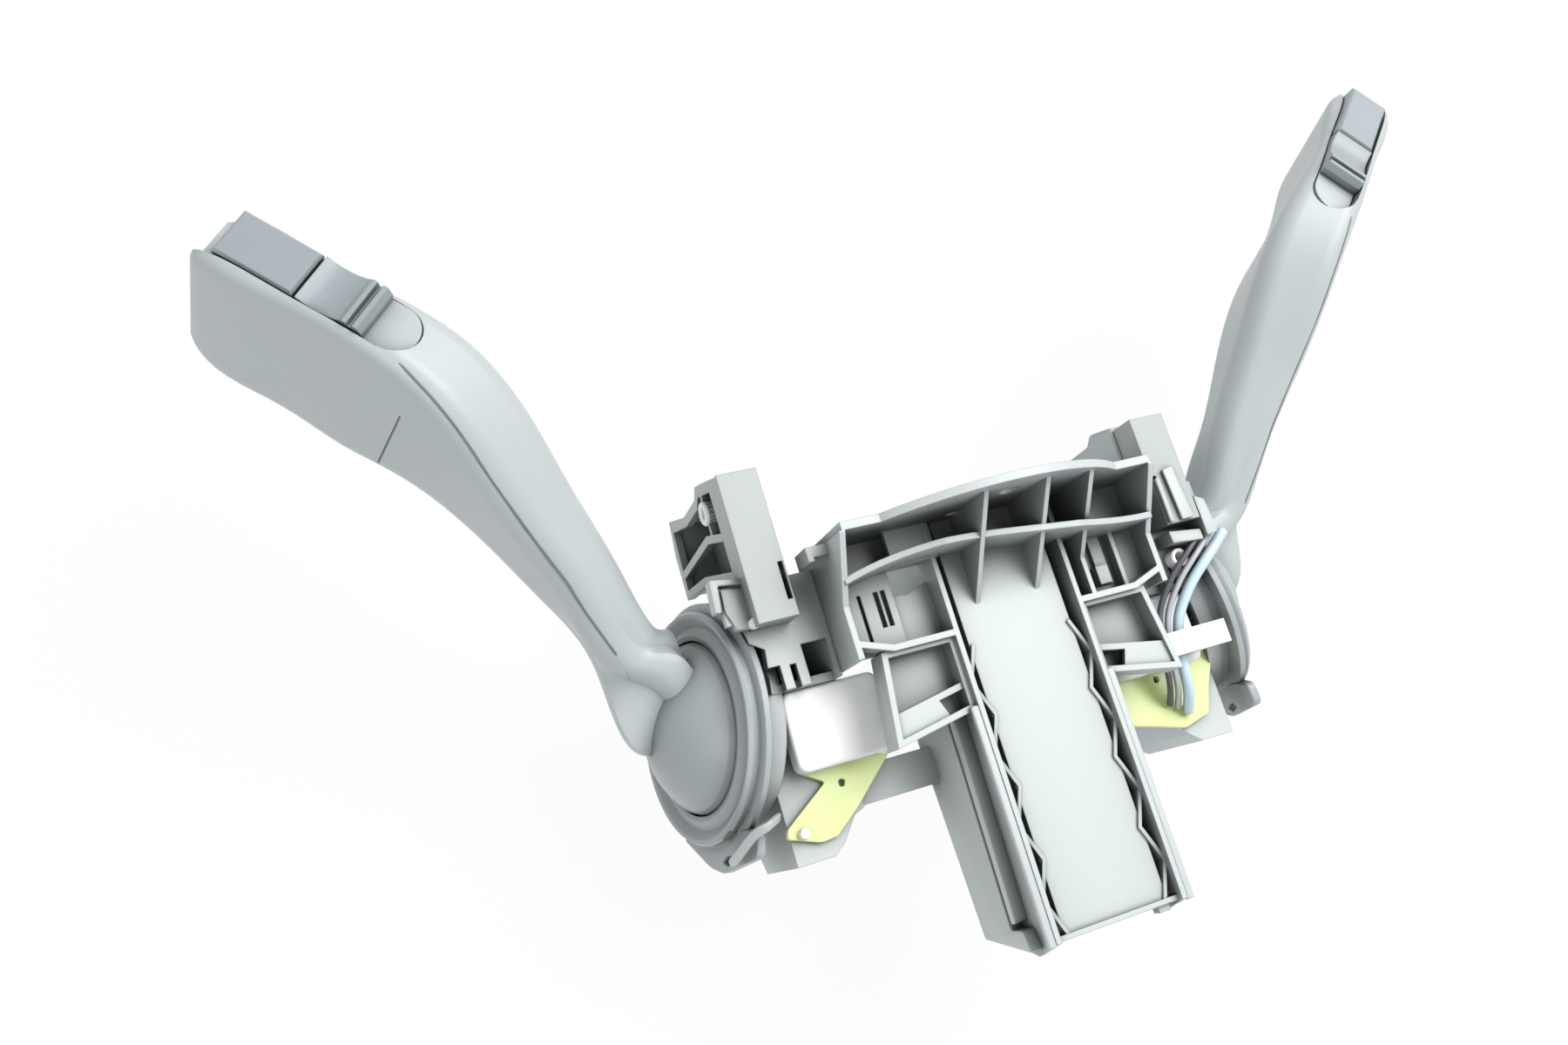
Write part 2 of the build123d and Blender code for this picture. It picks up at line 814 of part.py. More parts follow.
with BuildPart() as pins:
    with Locations(
        (
            (-connector_out - connector_in) / 2,
            connector_front + 8.0 - 3.0,
            (board_top + connector_top) / 2,
        )
    ):
        with GridLocations(pin_pitch, 1, pin_count, 1):
            Box(pin_size, 6.0, pin_size)
write_pair(pins, "terminal_pins")

# Gimbal yoke and its pin
with BuildPart() as yoke:
    with BuildSketch(pivot_plane.offset(yoke_low)):
        RectangleRounded(2 * yoke_half_x, 2 * yoke_half_y, 1.5)
        Rectangle(
            2 * (yoke_half_x - yoke_bar), 2 * (yoke_half_y - yoke_bar), mode=Mode.SUBTRACT
        )
    extrude(amount=yoke_high - yoke_low)
    for side in (-1, 1):
        with BuildSketch(
            Plane(
                origin=pivot + pivot_plane.x_dir * side * (yoke_half_x - 0.5),
                x_dir=pivot_plane.y_dir,
                z_dir=pivot_plane.x_dir * side,
            )
        ):
            Circle(trunnion_r)
        extrude(amount=trunnion_length + 0.5)
    with BuildSketch(Plane(origin=pivot, x_dir=pivot_plane.x_dir, z_dir=pivot_plane.y_dir)):
        Circle(pin_r)
    extrude(amount=yoke_half_y + 1, both=True, mode=Mode.SUBTRACT)
write_pair(yoke, "gimbal_yoke")

with BuildPart() as pivot_pin:
    with BuildSketch(Plane(origin=pivot, x_dir=pivot_plane.x_dir, z_dir=pivot_plane.y_dir)):
        Circle(pin_r)
    extrude(amount=yoke_half_y, both=True)
write_pair(pivot_pin, "pivot_pin")

# Lever ball with its core, tail and finger
core_half_y = yoke_half_y - yoke_bar - side_gap
inner_r = ball_r - ball_wall
shoulder = (on_sphere(ball_r, ball_shoulder), ball_shoulder)
inner_shoulder = (on_sphere(inner_r, ball_shoulder), ball_shoulder)
rim_middle = (ball_shoulder + ball_rim) / 2


def dome_middle(top, edge):
    """Point halfway along the flat spherical cap from the axis at a height to its edge."""
    rise = top - edge[1]
    cap_r = (edge[0] ** 2 + rise**2) / (2 * rise)
    reach = 0.6 * edge[0]
    return (reach, top - cap_r + sqrt(cap_r**2 - reach**2))


with BuildPart() as ball:
    with BuildSketch(cup_plane):
        with BuildLine():
            ThreePointArc((0, ball_height), dome_middle(ball_height, shoulder), shoulder)
            ThreePointArc(
                shoulder,
                (on_sphere(ball_r, rim_middle), rim_middle),
                (on_sphere(ball_r, ball_rim), ball_rim),
            )
            Line(
                (on_sphere(ball_r, ball_rim), ball_rim),
                (on_sphere(inner_r, ball_rim), ball_rim),
            )
            ThreePointArc(
                (on_sphere(inner_r, ball_rim), ball_rim),
                (on_sphere(inner_r, rim_middle), rim_middle),
                inner_shoulder,
            )
            ThreePointArc(
                inner_shoulder,
                dome_middle(ball_height - ball_wall, inner_shoulder),
                (0, ball_height - ball_wall),
            )
            Line((0, ball_height - ball_wall), (0, ball_height))
        make_face()
    revolve(axis=pivot_axis)
    with BuildSketch(pivot_plane.offset(-4.0)):
        Rectangle(2 * core_half_x, 2 * core_half_y)
    extrude(amount=ball_height + 4.0 - ball_wall)
    with BuildSketch(pivot_plane.offset(tail_end)):
        Circle(tail_r)
    extrude(amount=-tail_end)
    finger_plane = Plane(
        origin=pivot_plane.from_local_coords(finger_start),
        x_dir=pivot_plane.x_dir,
        z_dir=pivot_plane.from_local_coords(finger_end)
        - pivot_plane.from_local_coords(finger_start),
    )
    with BuildSketch(finger_plane):
        Circle(finger_r)
    extrude(amount=(finger_end - finger_start).length)
    with BuildSketch(Plane(origin=pivot, x_dir=pivot_plane.x_dir, z_dir=pivot_plane.y_dir)):
        Circle(pin_r + running_gap)
    extrude(amount=core_half_y + 1, both=True, mode=Mode.SUBTRACT)
    with BuildSketch(pivot_plane.offset(tail_end - 0.1)):
        Circle(plunger_r + running_gap)
    extrude(amount=6.1, mode=Mode.SUBTRACT)
write_pair(ball, "lever_ball")

with BuildPart() as plunger:
    with BuildSketch(cup_plane):
        with BuildLine():
            tip = -(cup_r - plunger_gap)
            ThreePointArc(
                (0, tip),
                (plunger_r * 0.7071, tip + plunger_r * 0.2929),
                (plunger_r, tip + plunger_r),
            )
            Polyline(
                (plunger_r, tip + plunger_r), (plunger_r, tail_end + 4.5),
                (0, tail_end + 4.5), (0, tip),
            )
        make_face()
    revolve(axis=pivot_axis)
write_pair(plunger, "detent_plunger")

# Contact carrier, moved by the finger
finger_tip = pivot_plane.from_local_coords(finger_end)
carrier_top = board_bed - 1.5 - carrier_gap
with BuildPart() as carrier:
    block_between(
        (-housing_in - 6.8, finger_tip.Y - 6.0, carrier_top - 1.2),
        (-housing_in - 2.6, finger_tip.Y + 6.0, carrier_top),
    )
    for side in (-1, 1):
        near = finger_tip.Y + side * (finger_r + 0.55)
        block_between(
            (-housing_in - 6.8, near, carrier_top - 12.5),
            (-housing_in - 2.6, near + side * prong_wall, carrier_top),
        )
write_pair(carrier, "contact_carrier")

# Stalk, measured from the pivot
end_station = dict(at=(-92.6, 118.6, 33.6), thick=6.2, high=15.4, lean=15, corner=3.4)
tip_station = dict(at=(-90.8, 116.8, 33.7), thick=7.7, high=17.1, lean=15, corner=4.0)
grip_station = dict(at=(-77.0, 102.6, 35.1), thick=8.2, high=19.5, lean=14, corner=4.0)
heel_station = dict(at=(-65.2, 90.6, 36.4), thick=8.6, high=19.7, lean=16, corner=4.2)
shoulder_station = dict(at=(-55.5, 81.3, 36.3), thick=9.8, high=18.0, lean=17, corner=5.0)
bend_station = dict(at=(-46.1, 69.4, 32.4), thick=10.2, high=15.0, lean=14, corner=6.0)
arm_station = dict(at=(-37.7, 55.5, 25.9), thick=9.4, high=12.0, lean=10, corner=6.5)
waist_station = dict(at=(-28.5, 39.2, 18.2), thick=8.2, high=9.8, lean=9, corner=6.5)
neck_station = dict(at=(-20.0, 22.4, 9.0), thick=7.8, high=9.0, lean=11, corner=7.0)
root_station = dict(at=(-7.0, 1.5, -1.0), thick=8.2, high=9.0, lean=8, corner=7.6)
stations = [
    end_station, tip_station, grip_station, heel_station, shoulder_station, bend_station,
    arm_station, waist_station, neck_station, root_station,
]
station_points = [pivot + Vector(*station["at"]) for station in stations]


def station_plane(index):
    """Plane square to the stalk at a station, leaned with its section."""
    before = station_points[max(index - 1, 0)]
    after = station_points[min(index + 1, len(stations) - 1)]
    along = (before - after).normalized()
    across = along.cross(Vector(0, 0, 1)).normalized()
    leaned = across.rotate(Axis((0, 0, 0), along), stations[index]["lean"])
    return Plane(origin=station_points[index], x_dir=leaned, z_dir=along)


def rim_relief(radius):
    """Height over the pivot that the neck keeps above at a radius, for the largest swing."""
    return bezel_rim_out + side_gap + radius * tan(radians(largest_swing))


with BuildPart() as stalk:
    for index, station in enumerate(stations):
        with BuildSketch(station_plane(index)):
            RectangleRounded(2 * station["thick"], 2 * station["high"], station["corner"])
    loft()
    with BuildSketch(cup_plane):
        with BuildLine():
            ThreePointArc((0, ball_height), dome_middle(ball_height, shoulder), shoulder)
            ThreePointArc(shoulder, (ball_r, 0), (shoulder[0], -ball_shoulder))
            Polyline((shoulder[0], -ball_shoulder), (0, -ball_shoulder), (0, ball_height))
        make_face()
    revolve(axis=pivot_axis, mode=Mode.SUBTRACT)
    # relief that keeps the neck clear of the bezel over the whole swing
    with BuildSketch(cup_plane):
        with BuildLine():
            relief_in = bezel_opening_r - 3.0
            relief_out = 2 * bezel_opening_r
            Polyline(
                (relief_in, 0),
                (relief_in, rim_relief(relief_in)),
                (relief_out, rim_relief(relief_out)),
                (relief_out, 0),
                close=True,
            )
        make_face()
    revolve(axis=pivot_axis, mode=Mode.SUBTRACT)

slot_along = Vector(*slot_heading)
slot_plane = Plane(
    origin=pivot + Vector(*slot_origin),
    x_dir=slot_along,
    z_dir=slot_along.cross(Vector(-slot_along.Y, slot_along.X, 0)),
)

# The seam runs along the front edge of the slot and down the arm to the ball
with BuildPart() as seam_side:
    with BuildSketch(Plane.XY.offset(pivot.Z - seam_reach)):
        with BuildLine():
            seam = Spline(*[(pivot.X + x, pivot.Y + y) for x, y in seam_route])
            Polyline(
                seam @ 1,
                (pivot.X - 0.4 * seam_reach, pivot.Y - 0.5 * seam_reach),
                (pivot.X - 1.3 * seam_reach, pivot.Y + 0.5 * seam_reach),
                seam @ 0,
            )
        make_face()
    extrude(amount=2 * seam_reach)

with BuildPart() as slot_space:
    with BuildSketch(slot_plane.offset(-slot_depth)):
        rectangle_between(-slot_straight, -slot_width / 2, 40.0, slot_width / 2 + 0.2)
        with Locations((-slot_straight, 0)):
            Circle(slot_width / 2)
    extrude(amount=slot_depth + 12)

panel_line_plane = Plane(
    origin=pivot + Vector(*panel_line_middle),
    x_dir=Vector(*panel_line_heading),
    z_dir=Vector(*panel_face_normal),
)
with BuildPart() as front_shell:
    add(stalk.part)
    add(seam_side.part, mode=Mode.INTERSECT)
    add(slot_space.part, mode=Mode.SUBTRACT)
    # shallow panel line across the broad face
    with BuildSketch(panel_line_plane.offset(-panel_line_depth)):
        Rectangle(panel_line_length, panel_line_width)
    extrude(amount=3.0, mode=Mode.SUBTRACT)
write_pair(front_shell, "stalk_front_shell")

with BuildPart() as rear_shell:
    add(stalk.part)
    add(seam_side.part, mode=Mode.SUBTRACT)
    add(slot_space.part, mode=Mode.SUBTRACT)
write_pair(rear_shell, "stalk_rear_shell")

# Track, slide switch and end button in the slot
slot_half = slot_width / 2 - slot_gap
with BuildPart() as track:
    with BuildSketch(slot_plane.offset(-slot_depth)):
        rectangle_between(-slot_straight, -slot_half, -slot_gap, slot_half)
        with Locations((-slot_straight, 0)):
            Circle(slot_half)
    extrude(amount=slot_depth - track_drop)
write_pair(track, "slide_track")

slot_side = Plane(
    origin=slot_plane.from_local_coords(Vector(0, slot_half, 0)),
    x_dir=slot_plane.x_dir,
    z_dir=-slot_plane.y_dir,
)
with BuildPart() as slider:
    with BuildSketch(slot_side):
        with BuildLine():
            Line((-slider_length, -track_drop + slot_gap), (-0.5, -track_drop + slot_gap))
            Line((-0.5, -track_drop + slot_gap), (-0.5, 0.9))
            ThreePointArc((-0.5, 0.9), (-5.5, -0.1), (-10.5, 1.4))
            Polyline(
                (-10.5, 1.4),
                (-11.6, slider_rise),
                (-12.6, slider_rise),
                (-13.0, 1.2),
                (-13.6, 1.2),
                (-14.0, slider_rise),
                (-15.0, slider_rise),
                (-slider_length, 0.6),
                (-slider_length, -track_drop + slot_gap),
            )
        make_face()
    extrude(amount=2 * slot_half)
write_pair(slider, "slide_switch")

with BuildPart() as button:
    with BuildSketch(slot_plane.offset(-slot_depth + 1.7)):
        rectangle_between(slot_gap, -slot_half, button_length, slot_half)
    extrude(amount=slot_depth - 0.7)
    chamfer(button.faces().sort_by(Axis.Z)[-1].edges(), 0.6)
write_pair(button, "end_button")

# Leads and their clamp, right side
clamp_y = front - 15.0
clamp_top = floor - 6.0
clamp_bar = 1.8
clamp_half = 3.0
clamp_leg = 2.2
clamp_in = pocket_half - 2.6
clamp_leg_out = housing_out - 7.5
clamp_out = housing_out - 2.0
with BuildPart() as clamp:
    block_between(
        (clamp_in, clamp_y - clamp_half, clamp_top - clamp_bar),
        (clamp_out, clamp_y + clamp_half, clamp_top),
    )
    for leg_start in (clamp_in, clamp_leg_out - clamp_leg):
        block_between(
            (leg_start, clamp_y - clamp_half, connector_top),
            (leg_start + clamp_leg, clamp_y + clamp_half, clamp_top - clamp_bar),
        )
write(clamp, "right_lead_clamp")


def make_lead(offset_x, offset_y, radius):
    """Lead from the bezel over the housing, through the clamp and down to the board."""
    route = [
        (housing_out + 6.5 + offset_x, front + 9.5 + offset_y, floor - 5.2),
        (housing_out - 0.5 + offset_x, front + 4.5 + offset_y, floor - 4.6),
        (housing_out - 7.5 + offset_x, front - 1.5 + offset_y, floor - 7.0),
        (housing_out - 12.5 + offset_x, front - 9.0 + offset_y, floor - 10.2),
        (housing_out - 14.8 + offset_x, front - 18.5 + offset_y, floor - 10.4),
        (housing_out - 14.0 + offset_x, front - 27.0 + offset_y, floor - 13.5),
        (housing_out - 12.5 + offset_x, front - 31.5 + offset_y, board_top + 1.1),
    ]
    points = [Vector(*point) for point in route]
    radii = []
    for index in range(1, len(points) - 1):
        before = points[index] - points[index - 1]
        after = points[index + 1] - points[index]
        turn = before.get_angle(after)
        shorter = min(before.length, after.length)
        radii.append(0.45 * shorter / tan(radians(turn / 2)))
    with BuildPart() as lead:
        with BuildLine() as path:
            FilletPolyline(*points, radius=radii)
        with BuildSketch(Plane(origin=points[0], z_dir=points[1] - points[0])) as section_face:
            Circle(radius)
        sweep(section_face.sketch, path=path.line)
    return lead


write(make_lead(0.0, 0.0, 1.4), "right_blue_lead")
write(make_lead(-2.6, 1.6, 0.8), "right_grey_lead")
write(make_lead(-4.6, 2.8, 0.8), "right_dark_lead")
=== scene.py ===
# Looks for the combination stalk switch: camera, light, floor, finishes and the added pieces.
import bpy
import numpy as np
from mathutils import Matrix, Vector


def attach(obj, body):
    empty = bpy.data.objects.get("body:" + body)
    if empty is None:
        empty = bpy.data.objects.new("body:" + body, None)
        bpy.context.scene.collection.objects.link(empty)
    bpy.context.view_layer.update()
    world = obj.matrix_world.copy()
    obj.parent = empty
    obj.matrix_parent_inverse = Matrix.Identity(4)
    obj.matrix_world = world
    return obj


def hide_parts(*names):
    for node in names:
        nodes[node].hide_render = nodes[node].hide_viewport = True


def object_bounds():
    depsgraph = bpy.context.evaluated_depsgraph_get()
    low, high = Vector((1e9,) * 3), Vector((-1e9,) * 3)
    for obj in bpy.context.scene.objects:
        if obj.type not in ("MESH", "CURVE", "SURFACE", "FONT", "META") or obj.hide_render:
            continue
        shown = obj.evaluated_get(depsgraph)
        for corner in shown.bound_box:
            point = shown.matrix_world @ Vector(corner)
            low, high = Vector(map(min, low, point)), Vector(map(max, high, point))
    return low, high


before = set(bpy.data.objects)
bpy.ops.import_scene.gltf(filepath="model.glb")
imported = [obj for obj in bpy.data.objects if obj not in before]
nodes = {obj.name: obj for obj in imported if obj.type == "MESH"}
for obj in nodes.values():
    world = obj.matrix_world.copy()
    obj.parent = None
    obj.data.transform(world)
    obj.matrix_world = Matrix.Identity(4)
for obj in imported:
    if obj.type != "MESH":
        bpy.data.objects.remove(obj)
cadLow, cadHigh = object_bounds()
print("frame loaded:", len(nodes), "nodes")

# camera, metres in the part's frame; lens and sensor in millimetres
cameraSettings = {
    "place": (-0.1512, -0.0598, 0.2574),
    "right": (0.91856, -0.28342, 0.27552),
    "up": (0.19874, 0.93369, 0.29787),
    "lens": 29.96,
    "sensor": 36.0,
    "nearest": 0.01,
}


def makeCamera(settings):
    # columns of the rotation are right, up and backward, with backward = right x up
    right = Vector(settings["right"]).normalized()
    back = right.cross(Vector(settings["up"])).normalized()
    up = back.cross(right)
    data = bpy.data.cameras.new("camera")
    data.lens = settings["lens"]
    data.sensor_width = settings["sensor"]
    data.clip_start = settings["nearest"]
    camera = bpy.data.objects.new("camera", data)
    turn = Matrix((right, up, back)).transposed().to_4x4()
    camera.matrix_world = Matrix.Translation(settings["place"]) @ turn
    bpy.context.collection.objects.link(camera)
    bpy.context.scene.camera = camera


makeCamera(cameraSettings)
bpy.context.scene.view_settings.view_transform = "Standard"

# studio: pale floor below the part, white all round for the camera, two soft lamps;
# floorGlow is the share of the floor's white that no shadow takes away
studio = {
    "floorDrop": 0.02,
    "floorSize": 6.0,
    "floorPaint": (0.86, 0.87, 0.88),
    "floorGlow": 0.94,
    "skyLight": 0.30,
    "lampAim": (0.0, 0.0, -0.03),
    "lamps": {
        "keyLamp": {"place": (0.55, 0.35, 1.05), "power": 18.5, "size": 1.0},
        "fillLamp": {"place": (-0.55, -0.45, 0.75), "power": 4.2, "size": 0.9},
    },
}
white = (1, 1, 1, 1)


def addNode(tree, kind, values=None, links=None):
    # node of a kind; values sets inputs, links gives the output that feeds an input
    node = tree.nodes.new(kind)
    for socket, value in (values or {}).items():
        node.inputs[socket].default_value = value
    for socket, output in (links or {}).items():
        tree.links.new(output, node.inputs[socket])
    return node


def viewerShare(tree):
    # 1 for camera, gloss and transmission rays, 0 for the rays that carry light
    path = addNode(tree, "ShaderNodeLightPath")
    share = path.outputs["Is Camera Ray"]
    for ray in ("Is Glossy Ray", "Is Transmission Ray"):
        larger = addNode(tree, "ShaderNodeMath", links={0: share, 1: path.outputs[ray]})
        larger.operation = "MAXIMUM"
        share = larger.outputs[0]
    return share


def makeWorld(settings):
    # skyLight as the light, plain white as what is seen
    world = bpy.data.worlds.new("studio")
    bpy.context.scene.world = world
    world.use_nodes = True
    tree = world.node_tree
    tree.nodes.clear()
    light = addNode(tree, "ShaderNodeBackground",
                    {"Color": white, "Strength": settings["skyLight"]})
    seen = addNode(tree, "ShaderNodeBackground", {"Color": white, "Strength": 1.0})
    mix = addNode(tree, "ShaderNodeMixShader",
                  links={0: viewerShare(tree), 1: light.outputs[0], 2: seen.outputs[0]})
    addNode(tree, "ShaderNodeOutputWorld", links={"Surface": mix.outputs[0]})


def makeFloor(settings):
    # flat square under the lowest point; seen as floorGlow white + (1 - floorGlow) paint
    half = settings["floorSize"] / 2
    z = cadLow[2] - settings["floorDrop"]
    corners = [(-half, -half, z), (half, -half, z), (half, half, z), (-half, half, z)]
    mesh = bpy.data.meshes.new("studioFloor")
    mesh.from_pydata(corners, [], [(0, 1, 2, 3)])
    floor = bpy.data.objects.new("studioFloor", mesh)
    bpy.context.collection.objects.link(floor)
    material = bpy.data.materials.new("paleFloor")
    material.use_nodes = True
    tree = material.node_tree
    tree.nodes.clear()
    paint = addNode(tree, "ShaderNodeBsdfDiffuse", {"Color": (*settings["floorPaint"], 1)})
    glow = addNode(tree, "ShaderNodeEmission", {"Strength": 1.0})
    seen = addNode(tree, "ShaderNodeMixShader", {0: settings["floorGlow"]},
                   {1: paint.outputs[0], 2: glow.outputs[0]})
    mix = addNode(tree, "ShaderNodeMixShader",
                  links={0: viewerShare(tree), 1: paint.outputs[0], 2: seen.outputs[0]})
    addNode(tree, "ShaderNodeOutputMaterial", links={"Surface": mix.outputs[0]})
    mesh.materials.append(material)


def makeLamp(name, look, target):
    # round lamp that faces the target
    data = bpy.data.lights.new(name, "AREA")
    data.shape = "DISK"
    data.size = look["size"]
    data.energy = look["power"]
    lamp = bpy.data.objects.new(name, data)
    lamp.location = look["place"]
    aim = Vector(target) - Vector(look["place"])
    lamp.rotation_euler = aim.to_track_quat("-Z", "Y").to_euler()
    bpy.context.collection.objects.link(lamp)


makeWorld(studio)
makeFloor(studio)
for lampName, lampLook in studio["lamps"].items():
    makeLamp(lampName, lampLook, studio["lampAim"])
print("studio ready")

# finishes: shade is the share of the colour that the painted shade leaves at the bottom of a
# recess, reach how far a wall casts that painted shade on its surroundings, vary and wave the slow
# tint, round the radius that edges show
plasticFinish = {
    "bracketGrey": {
        "colour": (0.55, 0.60, 0.60), "shade": 0.10, "reach": 0.014, "vary": 0.92, "wave": 26.0,
        "rough": 0.42, "grain": 900.0, "bump": 0.06, "round": 0.00045,
    },
    # the bracket's grey darkened to about 0.73 for the rail: a painted shade, its top drawn less
    # lit than the trough's floor
    "railGrey": {
        "colour": (0.40, 0.44, 0.435), "shade": 0.10, "reach": 0.014, "vary": 0.90, "wave": 30.0,
        "rough": 0.42, "grain": 900.0, "bump": 0.06, "round": 0.00045,
    },
    "stalkGrey": {
        "colour": (0.48, 0.525, 0.53), "shade": 0.30, "reach": 0.006, "vary": 0.94, "wave": 18.0,
        "rough": 0.40, "grain": 1500.0, "bump": 0.10, "round": 0.0002,
    },
    # dark colour of the seam strips: painted shade of the groove between a stalk's two shells
    "seamGrey": {
        "colour": (0.17, 0.19, 0.19), "shade": 0.60, "reach": 0.004, "vary": 0.85, "wave": 60.0,
        "rough": 0.50, "grain": 1500.0, "bump": 0.05, "round": 0.0001,
    },
    "ballGrey": {
        "colour": (0.37, 0.41, 0.42), "shade": 0.15, "reach": 0.008, "vary": 0.92, "wave": 20.0,
        "rough": 0.34, "grain": 1300.0, "bump": 0.05, "round": 0.0003,
    },
    "buttonGrey": {
        "colour": (0.31, 0.35, 0.37), "shade": 0.15, "reach": 0.004, "vary": 0.92, "wave": 40.0,
        "rough": 0.36, "grain": 1500.0, "bump": 0.06, "round": 0.0003,
    },
    "bezelGrey": {
        "colour": (0.42, 0.46, 0.47), "shade": 0.08, "reach": 0.010, "vary": 0.90, "wave": 22.0,
        "rough": 0.36, "grain": 1100.0, "bump": 0.05, "round": 0.0005,
    },
    "pureWhite": {
        "colour": (0.93, 0.94, 0.94), "shade": 0.80, "reach": 0.006, "vary": 0.97, "wave": 30.0,
        "rough": 0.38, "grain": 700.0, "bump": 0.03, "round": 0.0004,
    },
    "blueLead": {
        "colour": (0.60, 0.78, 0.88), "shade": 0.40, "reach": 0.004, "vary": 0.90, "wave": 60.0,
        "rough": 0.35, "grain": 600.0, "bump": 0.04, "round": 0.0001,
    },
    "greyLead": {
        "colour": (0.52, 0.54, 0.56), "shade": 0.30, "reach": 0.004, "vary": 0.90, "wave": 60.0,
        "rough": 0.35, "grain": 600.0, "bump": 0.04, "round": 0.0001,
    },
    "darkLead": {
        "colour": (0.10, 0.10, 0.11), "shade": 0.50, "reach": 0.004, "vary": 0.85, "wave": 60.0,
        "rough": 0.35, "grain": 600.0, "bump": 0.04, "round": 0.0001,
    },
    "boardGreen": {
        "colour": (0.72, 0.83, 0.34), "shade": 0.62, "reach": 0.006, "vary": 0.88, "wave": 90.0,
        "rough": 0.30, "grain": 500.0, "bump": 0.03, "round": 0.0002,
    },
}
# what every plastic shares
plasticCommon = {
    "waveDetail": 3.0, "grainDetail": 2.0, "openPower": 1.6, "openSamples": 8, "edgeSamples": 4,
    "roughBelow": 0.05, "roughAbove": 0.07, "bumpDepth": 0.0003,
}


def startMaterial(name):
    # a new material with its tree and shader
    material = bpy.data.materials.new(name)
    material.use_nodes = True
    tree = material.node_tree
    return material, tree, tree.nodes["Principled BSDF"]


def noiseAt(tree, scale, detail=2.0):
    # noise over the object's own coordinates
    place = addNode(tree, "ShaderNodeTexCoord")
    noise = addNode(tree, "ShaderNodeTexNoise", {"Scale": scale, "Detail": detail},
                    {"Vector": place.outputs["Object"]})
    return noise.outputs["Fac"]


def spreadRoughness(tree, shader, noise, low, high):
    # roughness = low + (high - low) x noise
    spread = addNode(tree, "ShaderNodeMapRange", {"To Min": low, "To Max": high},
                     {"Value": noise})
    tree.links.new(spread.outputs["Result"], shader.inputs["Roughness"])


def plasticWithPaintedShade(name, look, common):
    # tint = base x (vary to 1 by slow noise); colour = shade x base + open (tint - shade x base),
    # open = (share of free sky within reach)^openPower, a painted shade in recesses; edges are
    # rounded, then grained
    material, tree, shader = startMaterial(name)
    base = look["colour"]
    slow = noiseAt(tree, look["wave"], common["waveDetail"])
    tint = addNode(
        tree, "ShaderNodeMixRGB",
        {"Color1": (*[c * look["vary"] for c in base], 1), "Color2": (*base, 1)}, {"Fac": slow},
    )
    # painted shade: the colour falls towards shade x base where walls close in within reach
    sky = addNode(tree, "ShaderNodeAmbientOcclusion", {"Distance": look["reach"]})
    sky.samples = common["openSamples"]
    openness = addNode(tree, "ShaderNodeMath", {1: common["openPower"]}, {0: sky.outputs["AO"]})
    openness.operation = "POWER"
    paintedRecessShade = addNode(
        tree, "ShaderNodeMixRGB", {"Color1": (*[c * look["shade"] for c in base], 1)},
        {"Fac": openness.outputs[0], "Color2": tint.outputs["Color"]},
    )
    tree.links.new(paintedRecessShade.outputs["Color"], shader.inputs["Base Color"])
    rough = look["rough"]
    spreadRoughness(tree, shader, slow, rough - common["roughBelow"], rough + common["roughAbove"])
    edge = addNode(tree, "ShaderNodeBevel", {"Radius": look["round"]})
    edge.samples = common["edgeSamples"]
    fine = noiseAt(tree, look["grain"], common["grainDetail"])
    bump = addNode(
        tree, "ShaderNodeBump", {"Strength": look["bump"], "Distance": common["bumpDepth"]},
        {"Height": fine, "Normal": edge.outputs["Normal"]},
    )
    tree.links.new(bump.outputs["Normal"], shader.inputs["Normal"])
    return material


platedPin = {
    "colour": (0.80, 0.79, 0.74), "rough": 0.28, "grain": 1400.0,
    "roughBelow": 0.08, "roughAbove": 0.12,
}


def platedMetal(name, look):
    # plain metal colour, roughness spread by a fine noise
    material, tree, shader = startMaterial(name)
    shader.inputs["Base Color"].default_value = (*look["colour"], 1)
    shader.inputs["Metallic"].default_value = 1.0
    rough = look["rough"]
    spreadRoughness(tree, shader, noiseAt(tree, look["grain"]),
                    rough - look["roughBelow"], rough + look["roughAbove"])
    return material


finishes = {
    name: plasticWithPaintedShade(name, look, plasticCommon) for name, look in plasticFinish.items()
}
finishes["platedPin"] = platedMetal("platedPin", platedPin)

finishOfNode = {
    "column_bracket": "bracketGrey",
    "bezel_ring": "bezelGrey",
    "switch_housing": "bracketGrey",
    "housing_cover": "bracketGrey",
    "mounting_rail": "railGrey",
    "circuit_board": "boardGreen",
    "connector": "pureWhite",
    "terminal_pins": "platedPin",
    "gimbal_yoke": "pureWhite",
    "pivot_pin": "platedPin",
    "lever_ball": "ballGrey",
    "detent_plunger": "pureWhite",
    "contact_carrier": "pureWhite",
    "stalk_front_shell": "stalkGrey",
    "stalk_rear_shell": "stalkGrey",
    "slide_track": "stalkGrey",
    "slide_switch": "buttonGrey",
    "end_button": "buttonGrey",
    "lead_clamp": "pureWhite",
    "blue_lead": "blueLead",
    "grey_lead": "greyLead",
    "dark_lead": "darkLead",
}
for nodeName, node in nodes.items():
    plainName = nodeName.replace("left_", "").replace("right_", "")
    finish = finishes[finishOfNode[plainName]]
    node.data.materials.clear()
    node.data.materials.append(finish)
print("finishes set")

# the added pieces are written in millimetres; a corner's rounding takes at most cutShare of
# an edge, and edges of more than sharpAngle degrees stay sharp
millimetre = 0.001
cutShare = 0.4
sharpAngle = 35


